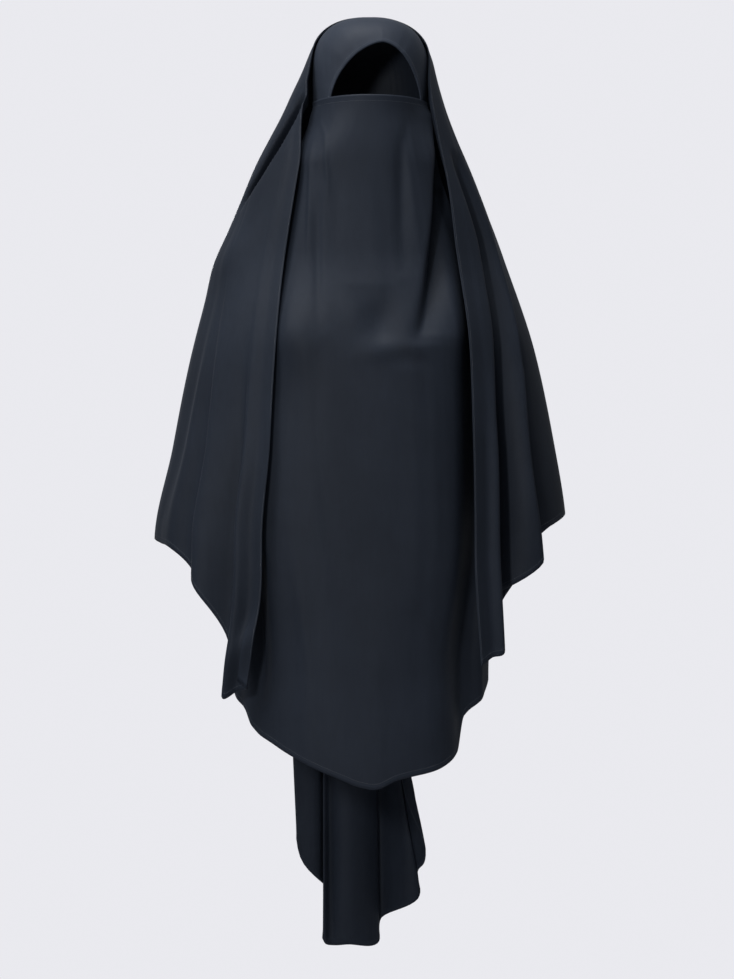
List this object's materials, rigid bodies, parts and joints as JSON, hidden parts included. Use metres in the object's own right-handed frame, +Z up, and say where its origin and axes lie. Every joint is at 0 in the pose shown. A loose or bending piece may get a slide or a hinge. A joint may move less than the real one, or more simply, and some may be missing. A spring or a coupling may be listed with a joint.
{
  "type": "khimar veil",
  "caption": "Long hooded crepe head covering with a forehead band, an eye opening and a face veil that falls to the front hem, draped as worn.",
  "frame": {"origin": "top of the crown, the point of the head that the khimar hangs from", "axes": "+Z up, -Y the way the wearer faces, +X to the right in a view from the front"},
  "size_m": [0.5767, 0.3427, 1.3353],
  "materials": {
    "cape_crepe": "smooth slate-black crepe with a soft sheen",
    "veil_crepe": "smooth slate-black crepe with a soft sheen",
    "band_crepe": "doubled slate-black crepe with a soft sheen"
  },
  "bodies": {
    "root": {"hooded_cape": "cape_crepe", "face_veil": "veil_crepe", "forehead_band": "band_crepe"}
  },
  "joints": []
}
